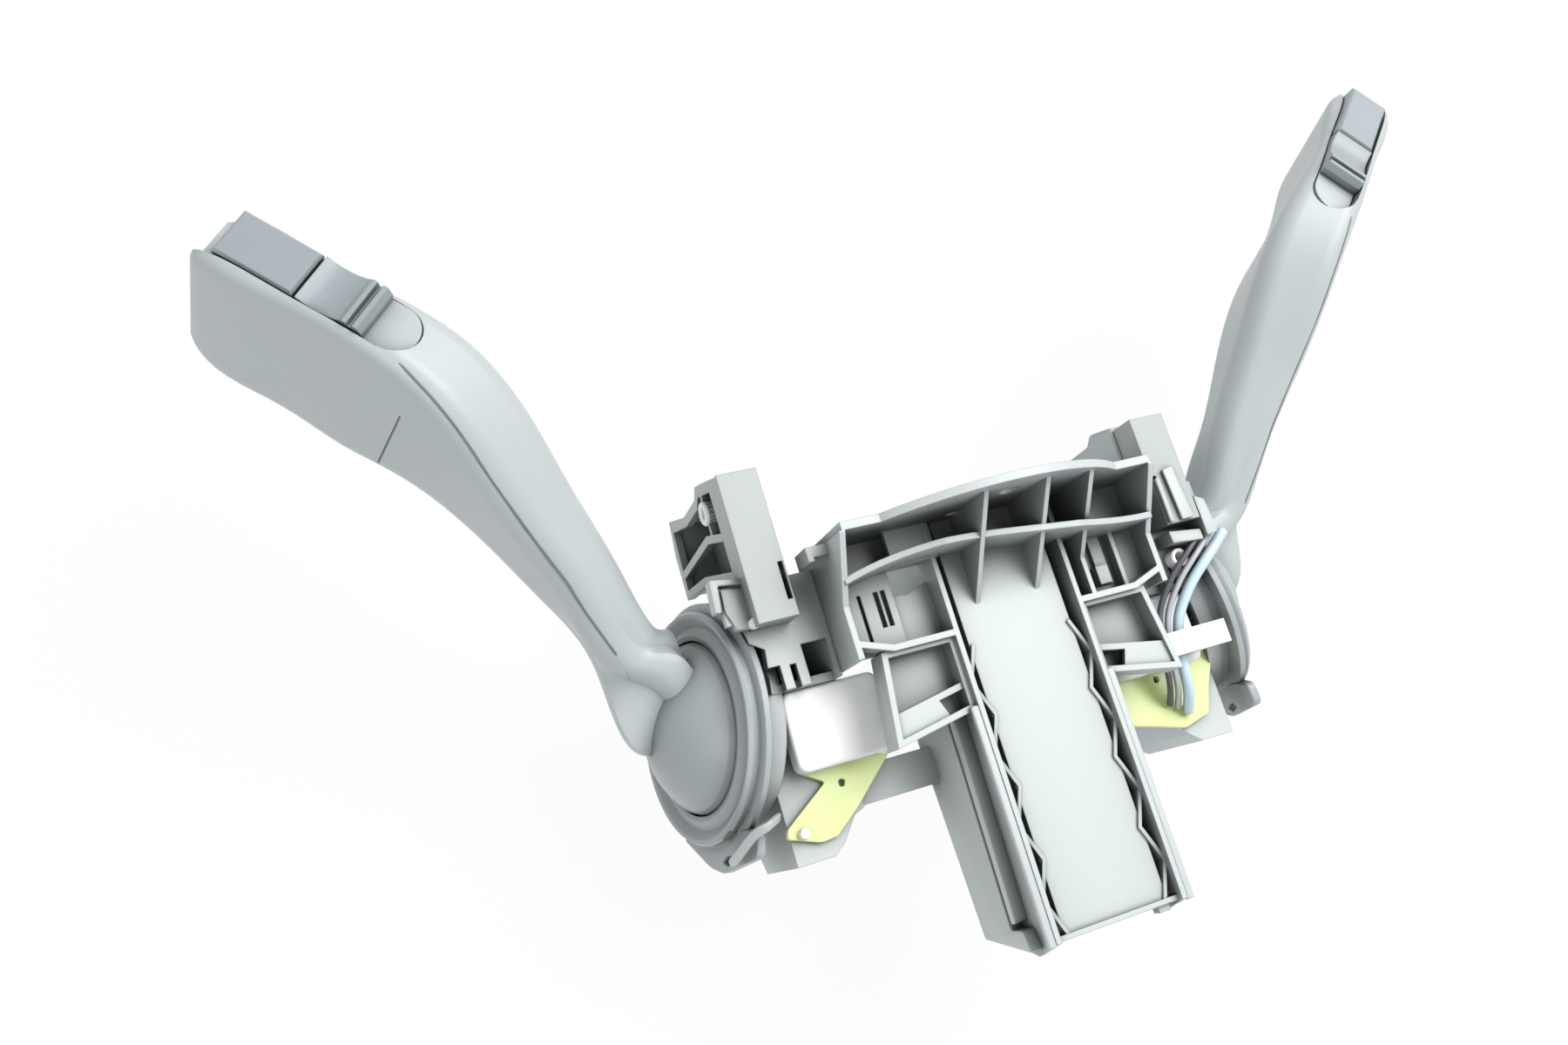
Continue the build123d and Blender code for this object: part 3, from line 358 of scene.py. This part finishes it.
def roundCorners(outline, radius, steps=4):
    # corner c with cut points a, b at the radius: P(t) = (1 - t)^2 a + 2 t (1 - t) c + t^2 b
    corner = np.asarray(outline, float)
    back = np.roll(corner, 1, 0) - corner
    onward = np.roll(corner, -1, 0) - corner
    backLength = np.linalg.norm(back, axis=1, keepdims=True)
    onwardLength = np.linalg.norm(onward, axis=1, keepdims=True)
    cut = np.minimum(radius, cutShare * np.minimum(backLength, onwardLength))
    start = (corner + back / backLength * cut)[:, None]
    end = (corner + onward / onwardLength * cut)[:, None]
    t = np.linspace(0, 1, steps)[None, :, None]
    curve = (1 - t) ** 2 * start + 2 * t * (1 - t) * corner[:, None] + t**2 * end
    return curve.reshape(-1, 2)


def circleOutline(radius, middle, count=32):
    # P(a) = middle + radius (cos a, sin a)
    a = np.arange(count) / count * 2 * np.pi
    return np.asarray(middle) + radius * np.stack([np.cos(a), np.sin(a)], 1)


def outwardNormals(outline):
    # mitre of the two edge normals at each corner, for an outline that runs anticlockwise
    along = np.roll(outline, -1, 0) - outline
    along = along / np.linalg.norm(along, axis=1, keepdims=True)
    after = np.stack([along[:, 1], -along[:, 0]], 1)
    before = np.roll(after, 1, 0)
    return (before + after) / (1 + np.sum(before * after, 1, keepdims=True))


def gridFaces(rows, columns, closedRows=False):
    # quads between neighbouring rows of a grid whose columns run round
    i = np.arange(rows if closedRows else rows - 1)[:, None]
    j = np.arange(columns)[None, :]
    here, there = i * columns, (i + 1) % rows * columns
    nextJ = (j + 1) % columns
    corners = np.broadcast_arrays(here + j, here + nextJ, there + nextJ, there + j)
    return np.stack(corners, -1).reshape(-1, 4)


def addPiece(name, points, faces, finish, body="column"):
    # mesh of the points; its faces turn outward by the sign of its volume
    mesh = bpy.data.meshes.new(name)
    mesh.from_pydata((np.asarray(points) * millimetre).tolist(), [], faces)
    mesh.calc_loop_triangles()
    corners = np.empty(len(mesh.loop_triangles) * 3, np.int32)
    mesh.loop_triangles.foreach_get("vertices", corners)
    a, b, c = np.asarray(points)[corners.reshape(-1, 3)].transpose(1, 0, 2)
    if np.einsum("ij,ij->", a, np.cross(b, c)) < 0:
        mesh.flip_normals()
    mesh.polygons.foreach_set("use_smooth", np.full(len(mesh.polygons), True))
    mesh.set_sharp_from_angle(angle=np.radians(sharpAngle))
    mesh.materials.append(finishes[finish])
    piece = bpy.data.objects.new(name, mesh)
    bpy.context.collection.objects.link(piece)
    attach(piece, body)
    return piece


def placed(flat, height, plane):
    # P(k, i) = origin + x across + y along + height_k out, with (x, y) = flat(k, i)
    origin, across, along, out = [np.asarray(v, float) for v in plane]
    return origin + flat[..., :1] * across + flat[..., 1:] * along + height[:, None, None] * out


def addSlab(name, outline, profile, plane, finish):
    # row k of the profile is (height, inset): flat(k, i) = outline_i - inset_k normal_i;
    # the first and the last row are closed by a face
    outline = np.asarray(outline, float)
    turn = np.roll(outline, -1, 0)
    if np.sum(outline[:, 0] * turn[:, 1] - outline[:, 1] * turn[:, 0]) < 0:
        outline = outline[::-1]
    height, inset = np.asarray(profile, float).T
    flat = outline[None] - inset[:, None, None] * outwardNormals(outline)[None]
    points = placed(flat, height, plane).reshape(-1, 3)
    count = len(outline)
    faces = gridFaces(len(profile), count).tolist()
    faces.append(list(range(count)))
    faces.append(list(range(len(points) - count, len(points))))
    return addPiece(name, points, faces, finish)


def addRing(name, outline, hole, profile, plane, finish):
    # row k of the profile is (share, height, inset) and the last row meets the first:
    # flat(k, i) = outer_i + share_k (hole_i - outer_i), then inset_k further that way;
    # hole_i on the ray to outer_i, at radius ((|cos| / a)^power + (|sin| / b)^power)^(-1 / power)
    outline = np.asarray(outline, float)
    middle, power = np.asarray(hole["middle"]), hole["power"]
    ray = outline - middle
    ray = ray / np.linalg.norm(ray, axis=1, keepdims=True)
    inverse = np.abs(ray / (hole["a"], hole["b"])) ** power
    inner = middle + ray * (inverse[:, :1] + inverse[:, 1:]) ** (-1 / power)
    share, height, inset = np.asarray(profile, float).T
    width = np.linalg.norm(inner - outline, axis=1)[None, :, None]
    part = share[:, None, None] + inset[:, None, None] / width
    flat = outline[None] + part * (inner - outline)[None]
    points = placed(flat, height, plane).reshape(-1, 3)
    faces = gridFaces(len(profile), len(outline), closedRows=True).tolist()
    return addPiece(name, points, faces, finish)


def roundHole(radius, middle):
    # a circle as the hole of a ring
    return {"middle": middle, "a": radius, "b": radius, "power": 2.0}


def plateProfile(low, high, edge):
    # both rims rounded by edge, with one point half way round
    half = 0.3 * edge
    return [(low, edge), (low + half, half), (low + edge, 0),
            (high - edge, 0), (high - half, half), (high, edge)]


def ringProfile(low, high, edge):
    # round the section: outer side, top, hole side, bottom
    return [(0, low + edge, 0), (0, high - edge, 0), (0, high, edge), (1, high, -edge),
            (1, high - edge, 0), (1, low + edge, 0), (1, low, -edge), (0, low, edge)]


def smoothPath(knots, count):
    # Catmull-Rom curve, evenly spread over the knots a, b, c, d around each stretch:
    # P(t) = b + t/2 (c - a + t (2a - 5b + 4c - d + t (3(b - c) + d - a)))
    knots = np.asarray(knots, float)
    wide = np.vstack([2 * knots[0] - knots[1], knots, 2 * knots[-1] - knots[-2]])
    s = np.linspace(0, len(knots) - 1, count)
    i = np.minimum(s.astype(int), len(knots) - 2)
    t = (s - i)[:, None]
    a, b, c, d = wide[i], wide[i + 1], wide[i + 2], wide[i + 3]
    return b + 0.5 * t * (c - a + t * (2 * a - 5 * b + 4 * c - d + t * (3 * (b - c) + d - a)))


# section of every strip: points round it, squareness, share at the ends and its growth per
# row, and how far the tips stand out in thicknesses
stripShape = {"columns": 20, "power": 0.5, "endShare": 0.35, "endGrowth": 0.45, "tip": 0.1}


def addStrip(name, look, finish, body="column", flip=(1, 1, 1)):
    # P(i, j) = path_i + share_i (width/2 |cos a_j|^power side_i + thick/2 |sin a_j|^power up_i),
    # with the signs of cos and sin; share falls at both ends and a tip closes each
    rows, columns, power = look["rows"], stripShape["columns"], stripShape["power"]
    path = smoothPath(np.asarray(look["knots"]) * flip, rows)
    run = np.gradient(path, axis=0)
    run = run / np.linalg.norm(run, axis=1, keepdims=True)
    side = np.asarray(look["side"]) * flip
    sideway = side - (run @ side)[:, None] * run
    sideway = sideway / np.linalg.norm(sideway, axis=1, keepdims=True)
    up = np.cross(run, sideway)
    a = np.arange(columns) / columns * 2 * np.pi
    across = np.sign(np.cos(a)) * np.abs(np.cos(a)) ** power * look["width"] / 2
    tall = np.sign(np.sin(a)) * np.abs(np.sin(a)) ** power * look["thick"] / 2
    fromEnd = np.minimum(np.arange(rows), np.arange(rows)[::-1])
    share = np.minimum(1, fromEnd * stripShape["endGrowth"] + stripShape["endShare"])
    section = across[None, :, None] * sideway[:, None] + tall[None, :, None] * up[:, None]
    grid = path[:, None] + share[:, None, None] * section
    reach = look["thick"] * stripShape["tip"]
    tips = [path[0] - run[0] * reach, path[-1] + run[-1] * reach]
    j = np.arange(columns)
    after = (j + 1) % columns
    last, tip = (rows - 1) * columns, rows * columns
    faces = gridFaces(rows, columns).tolist()
    faces += np.stack([after, j, np.full(columns, tip)], 1).tolist()
    faces += np.stack([last + j, last + after, np.full(columns, tip + 1)], 1).tolist()
    return addPiece(name, np.vstack([grid.reshape(-1, 3), tips]), faces, finish, body)


def sidePlane(side, x, inward=True):
    # upright plane at x on the given side: outline is (Y, Z), heights run inward or outward
    return ((side * x, 0, 0), (0, 1, 0), (0, 0, 1), (-side if inward else side, 0, 0))


def levelPlane(side, z):
    # level plane: outline is (X, Y) of the left side, mirrored for the right one
    return ((0, 0, z), (-side, 0, 0), (0, 1, 0), (0, 0, 1))


# channel behind the window of each end frame, open to the outside
railChannel = {
    "face": 58.9, "depth": 8.5, "wall": 1.1, "rim": 0.3, "backRim": 0.4, "corner": 0.8,
    "leftEnd": 20.5, "rightEnd": 13.5,
    "far": [(1.0, -26.4), (1.9, -31.0), (2.8, -36.4), (0.4, -39.4), (0.1, -52.6), (3.3, -66.9),
            (-5.2, -69.5)],
    "near": [(3.9, -69.5), (2.7, -49.0), (-2.4, -26.4)],
}


def makeRailChannel(side, name, end, look):
    # tray: from the back along the outside, over the rim and down the inside to the floor
    outline = roundCorners([(end + y, z) for y, z in look["far"]] + look["near"], look["corner"])
    depth, wall, rim, backRim = (look[key] for key in ("depth", "wall", "rim", "backRim"))
    profile = [(depth, backRim), (depth - backRim, 0), (rim, 0), (0, rim), (0, wall - rim),
               (rim, wall), (depth - wall, wall)]
    plane = sidePlane(side, look["face"])
    addSlab(name, outline, profile, plane, "bracketGrey")


makeRailChannel(-1, "left_rail_channel", railChannel["leftEnd"], railChannel)
makeRailChannel(1, "right_rail_channel", railChannel["rightEnd"], railChannel)

# bushing in each end frame
railBushing = {
    "face": 61.9, "length": 9.0, "radius": 3.0, "bore": 1.5, "edge": 0.4,
    "behindEnd": 4.4, "height": -33.7,
}


def makeRailBushing(side, name, end, look):
    # tube across the frame
    middle = (end - look["behindEnd"], look["height"])
    outline = circleOutline(look["radius"], middle)
    profile = ringProfile(0.0, look["length"], look["edge"])
    addRing(name, outline, roundHole(look["bore"], middle), profile,
            sidePlane(side, look["face"]), "pureWhite")


makeRailBushing(-1, "left_rail_bushing", railChannel["leftEnd"], railBushing)
makeRailBushing(1, "right_rail_bushing", railChannel["rightEnd"], railBushing)
print("rail channels and bushings made")

# cheeks on the trough's outer walls: a lip, a narrow ledge, a gap and the wide plate
troughCheek = {
    "wallX": 17.4, "thick": 3.4, "lipShare": 0.6, "edge": 0.35, "corner": 0.9,
    "ledge": [(-46.0, -22.0), (-94.8, -24.0), (-95.0, -26.4), (-46.0, -24.9)],
    "plate": [(-46.0, -26.1), (-96.2, -27.6), (-96.4, -21.8), (-101.4, -20.6), (-98.2, -43.0),
              (-60.5, -45.6), (-46.0, -46.4)],
    "lip": [(-46.0, -13.9), (-101.0, -13.9), (-101.0, -15.3), (-46.0, -15.3)],
}


def makeTroughCheek(side, name, look):
    # slabs that stand out from the wall
    plane = sidePlane(side, look["wallX"], inward=False)
    for part, share in (("ledge", 1), ("plate", 1), ("lip", look["lipShare"])):
        outline = roundCorners(look[part], look["corner"])
        profile = plateProfile(0.0, share * look["thick"], look["edge"])
        addSlab(f"{name}_{part}", outline, profile, plane, "bracketGrey")


makeTroughCheek(-1, "left_trough_cheek", troughCheek)
makeTroughCheek(1, "right_trough_cheek", troughCheek)
print("trough cheeks made")

# step plate beside the left rail: angled border, then the plate inside it
stepPlate = {
    "level": -26.6, "borderTop": 3.9, "plateTop": 3.1, "edge": 0.25, "corner": 0.5,
    "border": [(-68.2, -2.3), (-59.9, -3.4), (-60.1, -4.9), (-66.4, -4.0), (-67.1, -10.3),
               (-68.7, -10.0)],
    "plate": [(-65.9, -4.8), (-60.2, -5.6), (-58.9, -15.3), (-64.4, -14.9), (-66.2, -9.9)],
}


def makeStepPlate(side, name, look):
    # two slabs on one level
    plane = levelPlane(side, look["level"])
    for part, top in (("border", look["borderTop"]), ("plate", look["plateTop"])):
        outline = roundCorners(look[part], look["corner"])
        profile = plateProfile(0.0, top, look["edge"])
        addSlab(f"{name}_{part}", outline, profile, plane, "bracketGrey")


makeStepPlate(-1, "left_step", stepPlate)
print("step plate made")

# foot of each bezel with its lozenge window, in the plane of the bezel
bezelFoot = {
    "origin": (-69.85, -31.56, -52.34),
    "across": (-0.131, -0.9908, 0.0327),
    "along": (0.2423, 0.0, 0.9702),
    "out": (-0.9613, 0.135, 0.2401),
    "low": -1.0, "high": 1.4, "edge": 0.4, "corner": 2.2, "cornerSteps": 7,
    "outline": [(24.0, -19.0), (32.6, -7.0), (34.9, -0.8), (33.4, 17.2), (27.5, 18.5),
                (26.0, 12.0), (26.0, -8.0)],
    "hole": {"middle": (32.2, 3.0), "a": 1.25, "b": 2.6, "power": 1.2},
}


def makeBezelFoot(side, name, look):
    # ring round the window, mirrored for the right side
    flip = np.array([-side, 1, 1])
    plane = [flip * np.asarray(look[key]) for key in ("origin", "across", "along", "out")]
    outline = roundCorners(look["outline"], look["corner"], look["cornerSteps"])
    profile = ringProfile(look["low"], look["high"], look["edge"])
    addRing(name, outline, look["hole"], profile, plane, "bezelGrey")


makeBezelFoot(-1, "left_bezel_foot", bezelFoot)
makeBezelFoot(1, "right_bezel_foot", bezelFoot)
print("bezel feet made")

# printed boards with the cut-out of the photo, in place of the plain CAD boards
boardShape = {
    "level": -37.9, "thick": 1.6, "edge": 0.15, "corner": 0.8, "holeRadius": 0.9,
    "left": [(-33.0, -30.9), (-33.0, -50.2), (-44.1, -59.9), (-51.0, -65.0), (-55.1, -65.4),
             (-62.9, -62.6), (-62.6, -60.6), (-50.4, -52.4), (-56.4, -48.6), (-57.0, -30.9)],
    "leftHole": (-46.4, -53.6),
    "right": [(-33.0, -30.9), (-32.6, -60.6), (-41.4, -63.0), (-48.0, -65.0), (-56.0, -63.0),
              (-59.0, -56.0), (-62.5, -50.0), (-62.0, -46.0), (-57.0, -44.0), (-57.0, -30.9)],
    "rightHole": (-44.2, -51.1),
}


def makeBoard(side, name, look, part, cadNode):
    # level plate with one round hole
    outline = roundCorners(look[part], look["corner"])
    hole = roundHole(look["holeRadius"], look[f"{part}Hole"])
    profile = ringProfile(0.0, look["thick"], look["edge"])
    board = addRing(name, outline, hole, profile, levelPlane(side, look["level"]),
                    "boardGreen")
    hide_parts(cadNode)


makeBoard(-1, "left_board", boardShape, "left", "left_circuit_board")
makeBoard(1, "right_board", boardShape, "right", "right_circuit_board")
print("boards made")

# white pegs with rounded heads: X, Y, foot and head
whitePegs = {
    "radius": 1.3, "round": 0.5, "count": 24,
    "places": {
        "left_board_peg": (-34.6, -48.7, -37.0, -33.6),
        "left_edge_peg": (-59.0, -62.3, -37.0, -34.4),
        "left_step_peg": (-60.6, -14.3, -24.0, -21.0),
    },
}


def makePeg(name, place, look):
    # upright round slab
    x, y, low, high = place
    outline = circleOutline(look["radius"], (x, y), look["count"])
    profile = plateProfile(low, high, look["round"])
    addSlab(name, outline, profile, levelPlane(-1, 0.0), "pureWhite")


for pegName, pegPlace in whitePegs["places"].items():
    makePeg(pegName, pegPlace, whitePegs)
print("pegs made")

# latch strip from the left housing over the foot of the bezel
latchStrip = {
    "knots": [(-75.9, -64.2, -42.4), (-74.2, -62.2, -37.2), (-71.9, -59.4, -30.6),
              (-69.0, -58.4, -28.0), (-66.5, -57.6, -30.5), (-64.0, -57.0, -34.0)],
    "width": 2.2, "thick": 1.1, "side": (0.0, 0.75, 0.66), "rows": 40,
}
addStrip("left_latch", latchStrip, "bracketGrey")

# dark strip along the line where the two shells of each stalk meet, a painted shade of the groove
# there, on the left; mirrored for the right one
shellSeamShade = {
    "knots": [
        (-126.0, 50.93, 2.65), (-123.4, 46.85, 1.54), (-120.78, 42.85, 0.08),
        (-118.33, 38.82, -1.83), (-116.06, 34.73, -4.19), (-113.94, 30.58, -6.91),
        (-111.75, 26.45, -9.95), (-109.4, 22.28, -13.0), (-106.96, 18.04, -16.09),
        (-104.41, 13.74, -19.2), (-101.81, 9.31, -22.12), (-99.09, 4.83, -25.01),
        (-97.95, 2.47, -26.6), (-96.8, 0.1, -28.2), (-95.61, -2.3, -29.74),
        (-94.3, -4.69, -31.2), (-92.98, -7.1, -32.67), (-91.62, -9.52, -34.17),
        (-90.25, -11.96, -35.6),
    ],
    "width": 0.55, "thick": 0.24, "side": (0.845, 0.22, 0.457), "rows": 90,
}
addStrip("left_stalk_seam", shellSeamShade, "seamGrey", "left_stalk")
addStrip("right_stalk_seam", shellSeamShade, "seamGrey", "right_stalk", (-1, 1, 1))
print("latch and seams made")

# fins along the right rail as outline, low and high; X as on the left side, mirrored
rightFins = {
    "edge": 0.25, "corner": 0.5,
    "fins": {
        "right_rail_fin_inner": (
            [(-51.3, -15.2), (-51.3, -3.5), (-52.7, -2.9), (-52.7, -15.2)], -18.2, -16.9),
        "right_rail_fin_middle": (
            [(-55.0, -15.2), (-54.4, -1.5), (-57.6, -1.0), (-58.6, -15.2)], -18.2, -17.0),
        "right_rail_fin_outer": (
            [(-61.8, -20.5), (-61.6, -9.5), (-64.6, -11.0), (-65.2, -20.0)], -26.5, -18.6),
        "right_rail_stop": (
            [(-51.6, -20.2), (-51.4, -17.0), (-60.8, -18.2), (-60.9, -21.0)], -26.5, -19.4),
    },
}
for finName, (finOutline, finLow, finHigh) in rightFins["fins"].items():
    addSlab(finName, roundCorners(finOutline, rightFins["corner"]),
            plateProfile(finLow, finHigh, rightFins["edge"]), levelPlane(1, 0.0),
            "bracketGrey")

# eyelet behind the right rail, for the leads
leadEyelet = {
    "middle": (-54.4, -23.6), "radius": 2.4, "bore": 1.3, "low": -26.4, "high": -22.6, "edge": 0.3,
}
addRing("right_lead_eyelet", circleOutline(leadEyelet["radius"], leadEyelet["middle"]),
        roundHole(leadEyelet["bore"], leadEyelet["middle"]),
        ringProfile(leadEyelet["low"], leadEyelet["high"], leadEyelet["edge"]),
        levelPlane(1, 0.0), "pureWhite")
print("fins and eyelet made")
